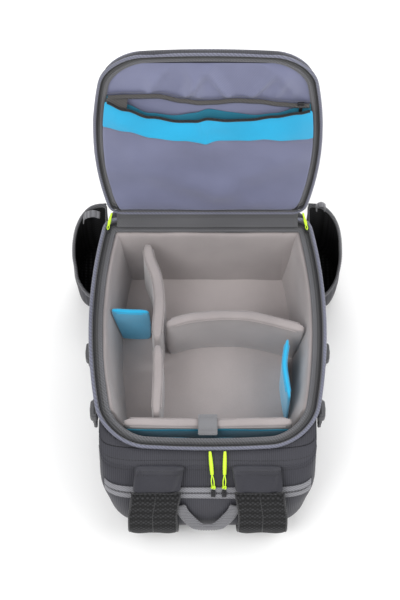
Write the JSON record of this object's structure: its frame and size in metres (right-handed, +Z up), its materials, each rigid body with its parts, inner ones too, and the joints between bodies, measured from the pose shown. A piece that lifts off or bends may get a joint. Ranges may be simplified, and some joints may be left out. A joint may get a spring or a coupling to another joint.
{
  "type": "drone carrying backpack",
  "caption": "Padded rear-access carrying backpack for a camera drone, lying open: hinged back-panel lid, movable dividers, side pockets, shoulder straps and grab handle.",
  "frame": {"origin": "centre of the flat face of the front pocket that the bag rests on", "axes": "+X right seen from the top end, +Y towards the waist end where the lid is hinged, +Z up out of the open compartment"},
  "size_m": [0.432, 0.5599, 0.556],
  "materials": {
    "outer_nylon": "matte",
    "piping": "matte",
    "zip_tape": "matte",
    "pad_velour": "matte",
    "blue_velour": "matte",
    "satin_lining": "matte",
    "blue_nylon": "matte",
    "teal_lining": "matte",
    "webbing": "matte",
    "air_mesh": "matte",
    "neon_cord": "matte",
    "zip_metal": "matte",
    "buckle_plastic": "matte",
    "hem": "matte",
    "hook_loop": "matte"
  },
  "bodies": {
    "bag": {"front_pocket": "outer_nylon", "front_organiser": "outer_nylon", "front_board": "outer_nylon", "side_panel_left": "outer_nylon", "side_panel_right": "outer_nylon", "base_panel": "outer_nylon", "partition_panel": "outer_nylon", "base_cushion": "outer_nylon", "rim_piping": "piping", "rim_zip_tape": "zip_tape", "floor_pad": "pad_velour", "wall_pad_left": "pad_velour", "wall_pad_right": "pad_velour", "wall_pad_far": "pad_velour", "sleeve_pad": "pad_velour", "sleeve_lining": "teal_lining", "top_hood": "outer_nylon", "top_end_panel": "outer_nylon", "top_zip_band": "webbing", "side_pocket_left": "outer_nylon", "side_pocket_right": "outer_nylon", "pocket_hem_left": "hem", "pocket_hem_right": "hem", "pocket_webbing_loops": "webbing", "compression_webbing": "webbing", "buckle_females": "buckle_plastic"},
    "lid": {"lid_board": "outer_nylon", "lid_edge_band": "piping", "lid_zip_tape": "zip_tape", "lid_lining": "satin_lining", "hinge_strip": "pad_velour", "lid_pocket_lower": "satin_lining", "lid_pocket_upper": "blue_nylon", "lid_pocket_zip_tape": "zip_tape", "back_cushions": "air_mesh", "lumbar_pad": "air_mesh"},
    "main_slider_left": {"main_slider_left": "zip_metal"},
    "main_pull_left": {"main_pull_left": "neon_cord"},
    "shoulder_strap_left": {"shoulder_strap_left": "air_mesh"},
    "buckle_male_upper_left": {"buckle_male_upper_left": "buckle_plastic"},
    "buckle_male_lower_left": {"buckle_male_lower_left": "buckle_plastic"},
    "main_slider_right": {"main_slider_right": "zip_metal"},
    "main_pull_right": {"main_pull_right": "neon_cord"},
    "shoulder_strap_right": {"shoulder_strap_right": "air_mesh"},
    "buckle_male_upper_right": {"buckle_male_upper_right": "buckle_plastic"},
    "buckle_male_lower_right": {"buckle_male_lower_right": "buckle_plastic"},
    "top_slider_left": {"top_slider_left": "zip_metal"},
    "top_pull_left": {"top_pull_left": "neon_cord"},
    "top_slider_right": {"top_slider_right": "zip_metal"},
    "top_pull_right": {"top_pull_right": "neon_cord"},
    "pocket_slider": {"pocket_slider": "zip_metal"},
    "pocket_pull": {"pocket_pull": "zip_metal"},
    "grab_handle": {"grab_handle": "webbing"},
    "divider_long": {"divider_long": "pad_velour"},
    "divider_lower": {"divider_lower": "pad_velour"},
    "divider_cross": {"divider_cross": "pad_velour"},
    "divider_blue_left": {"divider_blue_left": "blue_velour"},
    "divider_blue_right": {"divider_blue_right": "blue_velour"},
    "sleeve_tab": {"sleeve_tab": "hook_loop"}
  },
  "joints": [
    {"name": "lid_hinge", "type": "hinge", "parent": "bag", "child": "lid", "pos_m": [0, 0.212, 0.19], "axis": [-1, 0, 0], "range_deg": [-100, 70]},
    {"name": "main_zip_left", "type": "hinge", "parent": "bag", "child": "main_slider_left", "pos_m": [0.57, 0.036, 0.186], "axis": [0, 0, 1], "range_deg": [0, 14.5]},
    {"name": "main_pull_swing_left", "type": "hinge", "parent": "main_slider_left", "child": "main_pull_left", "pos_m": [-0.1548, 0.19, 0.19], "axis": [1, 0, 0], "range_deg": [0, 80]},
    {"name": "strap_swing_left", "type": "hinge", "parent": "bag", "child": "shoulder_strap_left", "pos_m": [-0.075, -0.2, 0.187], "axis": [-1, 0, 0], "range_deg": [0, 70]},
    {"name": "buckle_upper_left", "type": "slide", "parent": "bag", "child": "buckle_male_upper_left", "axis": [0, 0, -1], "range_m": [0, 0.02]},
    {"name": "buckle_lower_left", "type": "slide", "parent": "bag", "child": "buckle_male_lower_left", "axis": [0, 0, -1], "range_m": [0, 0.02]},
    {"name": "main_zip_right", "type": "hinge", "parent": "bag", "child": "main_slider_right", "pos_m": [-0.57, 0.036, 0.186], "axis": [0, 0, -1], "range_deg": [0, 14.5]},
    {"name": "main_pull_swing_right", "type": "hinge", "parent": "main_slider_right", "child": "main_pull_right", "pos_m": [0.1548, 0.19, 0.19], "axis": [1, 0, 0], "range_deg": [0, 80]},
    {"name": "strap_swing_right", "type": "hinge", "parent": "bag", "child": "shoulder_strap_right", "pos_m": [0.075, -0.2, 0.187], "axis": [-1, 0, 0], "range_deg": [0, 70]},
    {"name": "buckle_upper_right", "type": "slide", "parent": "bag", "child": "buckle_male_upper_right", "axis": [0, 0, -1], "range_m": [0, 0.02]},
    {"name": "buckle_lower_right", "type": "slide", "parent": "bag", "child": "buckle_male_lower_right", "axis": [0, 0, -1], "range_m": [0, 0.02]},
    {"name": "top_zip_left", "type": "slide", "parent": "bag", "child": "top_slider_left", "axis": [-1, 0, 0], "range_m": [0, 0.024]},
    {"name": "top_pull_swing_left", "type": "hinge", "parent": "top_slider_left", "child": "top_pull_left", "pos_m": [0.008, -0.2165, 0.1585], "axis": [1, 0, 0], "range_deg": [0, 80]},
    {"name": "top_zip_right", "type": "slide", "parent": "bag", "child": "top_slider_right", "axis": [1, 0, 0], "range_m": [0, 0.008]},
    {"name": "top_pull_swing_right", "type": "hinge", "parent": "top_slider_right", "child": "top_pull_right", "pos_m": [0.024, -0.2165, 0.1585], "axis": [1, 0, 0], "range_deg": [0, 80]},
    {"name": "pocket_zip", "type": "slide", "parent": "lid", "child": "pocket_slider", "axis": [-1, 0, 0], "range_m": [0, 0.24]},
    {"name": "pocket_pull_swing", "type": "hinge", "parent": "pocket_slider", "child": "pocket_pull", "pos_m": [0.132, 0.25386, 0.45475], "axis": [-1, 0, 0], "range_deg": [0, 60]},
    {"name": "handle_swing", "type": "hinge", "parent": "bag", "child": "grab_handle", "pos_m": [0, -0.232, 0.136], "axis": [-1, 0, 0], "range_deg": [0, 100]},
    {"name": "lift_divider_long", "type": "slide", "parent": "bag", "child": "divider_long", "axis": [0, 0, 1], "range_m": [0, 0.15]},
    {"name": "lift_divider_lower", "type": "slide", "parent": "bag", "child": "divider_lower", "axis": [0, 0, 1], "range_m": [0, 0.15]},
    {"name": "lift_divider_cross", "type": "slide", "parent": "bag", "child": "divider_cross", "axis": [0, 0, 1], "range_m": [0, 0.15]},
    {"name": "lift_divider_blue_left", "type": "slide", "parent": "bag", "child": "divider_blue_left", "axis": [0, 0, 1], "range_m": [0, 0.15]},
    {"name": "lift_divider_blue_right", "type": "slide", "parent": "bag", "child": "divider_blue_right", "axis": [0, 0, 1], "range_m": [0, 0.15]},
    {"name": "sleeve_tab_swing", "type": "hinge", "parent": "bag", "child": "sleeve_tab", "pos_m": [0, -0.144, 0.1752], "axis": [1, 0, 0], "range_deg": [0, 110]}
  ]
}
